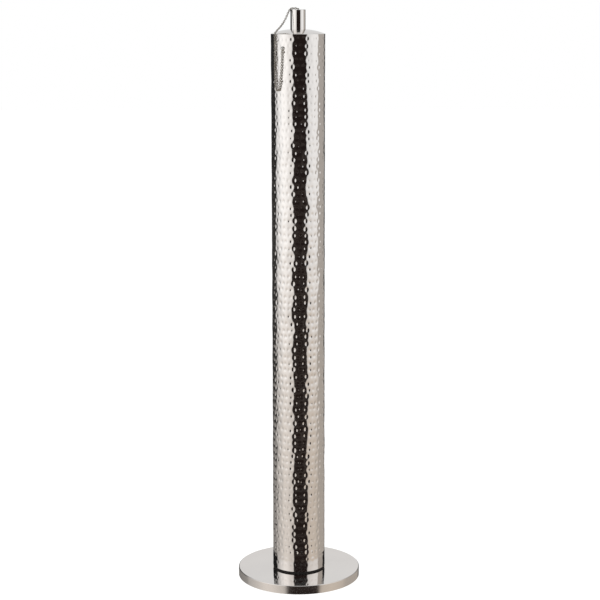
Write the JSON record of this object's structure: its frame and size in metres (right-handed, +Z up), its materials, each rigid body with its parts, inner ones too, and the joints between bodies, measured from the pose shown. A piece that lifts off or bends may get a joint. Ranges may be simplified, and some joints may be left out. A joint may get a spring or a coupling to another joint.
{
  "type": "garden oil torch",
  "caption": "Floor-standing garden oil torch: hammered steel tube on a weighted disc, domed top, screw-in wick burner, snuffer cap on a thin chain.",
  "frame": {"origin": "on the floor, on the tube's axis, at the underside of the rubber foot ring", "axes": "+Z up along the tube; -Y to the front, as pictured; the chain hangs at the front left, towards -X"},
  "size_m": [0.2096, 0.2096, 0.9746],
  "materials": {
    "polished_steel": "mirror polished",
    "hammered_steel": "hammered and polished",
    "plain_steel": "plain",
    "chain_steel": "bright",
    "tinplate": "tinned",
    "iron": "rough",
    "brass": "turned",
    "black_rubber": "matt",
    "foot_rubber": "matt",
    "glass_fibre": "woven"
  },
  "bodies": {
    "torch": {"foot_ring": "foot_rubber", "base_underplate": "plain_steel", "underplate_screws": "plain_steel", "base_ballast": "iron", "base_cover": "polished_steel", "base_gasket": "black_rubber", "tie_bolt": "plain_steel", "tie_washer": "plain_steel", "tie_nut": "plain_steel", "foot_cup": "plain_steel", "body_tube": "hammered_steel", "dome_top": "polished_steel", "filler_neck": "plain_steel", "neck_nut": "brass", "canister_top": "tinplate", "canister_shell": "tinplate", "canister_bottom": "tinplate", "wall_rivet": "plain_steel", "wall_washer": "plain_steel", "wall_ring": "chain_steel", "chain_loop": "chain_steel", "chain_span": "chain_steel"},
    "cap": {"snuffer_cap": "polished_steel", "cap_rivet": "plain_steel", "cap_ring": "chain_steel"},
    "washer": {"burner_washer": "black_rubber"},
    "burner": {"burner_plug": "brass", "wick_tube": "brass"},
    "wick": {"wick": "glass_fibre"}
  },
  "joints": [
    {"name": "cap_lift", "type": "slide", "parent": "torch", "child": "cap", "axis": [0, 0, 1], "range_m": [0, 0.03], "deforming": ["chain_span"]},
    {"name": "burner_rise", "type": "slide", "parent": "torch", "child": "washer", "axis": [0, 0, 1], "range_m": [0, 0.0076]},
    {"name": "burner_spin", "type": "hinge", "parent": "washer", "child": "burner", "pos_m": [0, 0, 0.9428], "axis": [0, 0, 1], "range_deg": [0, 1800]},
    {"name": "wick_feed", "type": "slide", "parent": "burner", "child": "wick", "axis": [0, 0, 1], "range_m": [-0.004, 0.005]}
  ],
  "couplings": [
    {"joint": "burner_rise", "follows": "burner_spin", "m_per_rad": 0.00023873}
  ]
}
